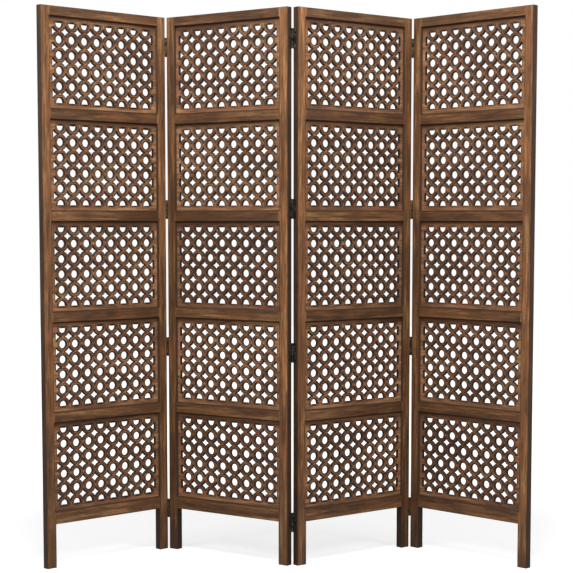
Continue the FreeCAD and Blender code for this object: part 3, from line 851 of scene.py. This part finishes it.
def stage_floor(scene, looks):
    """Pale floor that keeps the screen's shadow and turns white away from it."""
    reach = looks.floor_reach
    data = bpy.data.meshes.new("floor")
    data.from_pydata([(-reach, -reach, 0), (reach, -reach, 0), (reach, reach, 0), (-reach, reach, 0)],
                     [], [(0, 1, 2, 3)])
    floor = bpy.data.objects.new("floor", data)
    scene.collection.objects.link(floor)
    material, tree, shader = new_material("floor_white")
    shader.inputs["Base Color"].default_value = colour([looks.floor_grey] * 3)
    shader.inputs["Roughness"].default_value = looks.floor_roughness
    shader.inputs["Specular IOR Level"].default_value = 0.0
    shader.inputs["Emission Color"].default_value = WHITE
    place = step(tree, "ShaderNodeTexCoord").outputs["Object"]
    distance = step(tree, "ShaderNodeVectorMath", {"operation": "LENGTH"})
    tree.links.new(place, distance.inputs[0])
    white = ease(tree, distance.outputs["Value"], looks.shadow_reach, looks.white_reach,
                 looks.shadow_glow, 1.0)
    seen = step(tree, "ShaderNodeLightPath").outputs["Is Camera Ray"]
    tree.links.new(calc(tree, "MULTIPLY", seen, white), shader.inputs["Emission Strength"])
    data.materials.append(material)


# Operators

class ScreenFrame(bpy.types.Operator):
    """Grain, stain and worn arrises for the stiles and rails, and painted light and shade on the stiles"""

    bl_idname = "jali_screen.frame"
    bl_label = "Finish the frames"

    def execute(self, context):
        looks = context.scene.jali_frame
        for number in PANELS:
            along = PLACES[number].col[0]
            turn = math.atan2(along.y, along.x)
            rail_wood = wood(f"rail_wood_{number}", looks, turn, shade=looks.rail_shade)
            for name in panel_nodes(number, "stile", "rail"):
                material = rail_wood
                if name.endswith("stile"):
                    low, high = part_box(name)
                    # Painted light and shade: a stile in front is painted brighter, and one behind, at a
                    # back fold, darker.
                    shade = looks.front_painted_light if low[1] + high[1] < 0 else looks.back_painted_shade
                    material = wood(f"{name}_wood", looks, turn, upright=True, shade=shade)
                node = frame["nodes"][name]
                node.data.materials.clear()
                node.data.materials.append(material)
                weld = node.modifiers.new("weld", "WELD")
                weld.merge_threshold = SAME_PLACE
                soften = node.modifiers.new("worn_arrises", "BEVEL")
                soften.width = looks.easing
                soften.segments = ARRIS_SEGMENTS
                soften.limit_method = "ANGLE"
                soften.angle_limit = looks.arris_angle
        return {"FINISHED"}


class ScreenJalis(bpy.types.Operator):
    """Carved and pierced board in every opening"""

    bl_idname = "jali_screen.jalis"
    bl_label = "Carve the jalis"

    def execute(self, context):
        data = jali_mesh(context.scene.jali_lattice)
        material = wood("jali_wood", context.scene.jali_board, carved=JALI_SIZE.y / 2)
        for number in PANELS:
            for name in panel_nodes(number, "jali"):
                low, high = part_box(name)
                place = PLACES[number].copy()
                place.translation = (Vector(low) + Vector(high)) / 2
                finish_mesh(f"carved_{name}", data, material, place, f"panel_{number}", "jali_wood", name)
        return {"FINISHED"}


class ScreenHinges(bpy.types.Operator):
    """Leaves with rolled knuckles and screws, and pins, for every fold"""

    bl_idname = "jali_screen.hinges"
    bl_label = "Make the hinges"

    def execute(self, context):
        looks = context.scene.jali_hinges
        material = iron("hinge_iron", looks)
        for number in PANELS:
            body = f"panel_{number}"
            place = PLACES[number]
            folds = [place.inverted() @ Vector(joint["pos_m"]) for joint in frame["joints"]
                     if body in (joint["parent"], joint["child"])]
            for name in panel_nodes(number, "leaves", "pins"):
                box = span(name, place)
                mesh = bmesh.new()
                for spot in folds:
                    if not box[0].x < spot.x < box[1].x:
                        continue
                    if name.endswith("pins"):
                        for ends in heights_near(name, place, spot, looks.barrel):
                            turned(mesh, looks, spot, ends, looks.pin, looks.pin * PIN_END)
                    else:
                        knuckles = heights_near(name, place, spot, looks.barrel * KNUCKLE_REACH)
                        for ends in knuckles:
                            turned(mesh, looks, spot, ends, looks.barrel, looks.barrel - looks.crown)
                        hinge_leaves(mesh, looks, box, spot, knuckles)
                data = baked(name, mesh, HINGE_CREASE)
                slot = "hinge_pin_steel" if name.endswith("pins") else "hinge_iron"
                finish_mesh(f"iron_{name}", data, material, place, body, slot, name)
        return {"FINISHED"}


class ScreenStage(bpy.types.Operator):
    """Pale floor, soft light and the camera"""

    bl_idname = "jali_screen.stage"
    bl_label = "Set the stage"

    def execute(self, context):
        looks = context.scene.jali_stage
        context.scene.view_settings.view_transform = "Standard"
        stage_camera(context.scene, looks)
        stage_lamps(context.scene, looks)
        stage_sky(context.scene, looks)
        stage_floor(context.scene, looks)
        return {"FINISHED"}


class ScreenPanel(bpy.types.Panel):
    """The screen's steps in the sidebar"""

    bl_idname = "VIEW3D_PT_jali_screen"
    bl_label = "Jali screen"
    bl_space_type = "VIEW_3D"
    bl_region_type = "UI"
    bl_category = "Jali screen"

    def draw(self, context):
        for operator in OPERATORS:
            self.layout.operator(operator.bl_idname)


OPERATORS = (ScreenFrame, ScreenJalis, ScreenHinges, ScreenStage)
LOOKS = {"jali_frame": FrameLooks, "jali_board": BoardLooks, "jali_lattice": JaliLooks,
         "jali_hinges": HingeLooks, "jali_stage": StageLooks}
CLASSES = (FrameLooks, BoardLooks, JaliLooks, HingeLooks, StageLooks, *OPERATORS, ScreenPanel)


def register():
    """Make the looks, the steps and the sidebar's panel known to Blender."""
    for item in CLASSES:
        bpy.utils.register_class(item)
    for name, group in LOOKS.items():
        setattr(bpy.types.Scene, name, PointerProperty(type=group))


def unregister():
    """Take them away again."""
    for name in LOOKS:
        delattr(bpy.types.Scene, name)
    for item in reversed(CLASSES):
        bpy.utils.unregister_class(item)


def main():
    """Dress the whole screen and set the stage."""
    register()
    bpy.ops.jali_screen.frame()
    bpy.ops.jali_screen.jalis()
    bpy.ops.jali_screen.hinges()
    bpy.ops.jali_screen.stage()


if __name__ == "__main__":
    main()
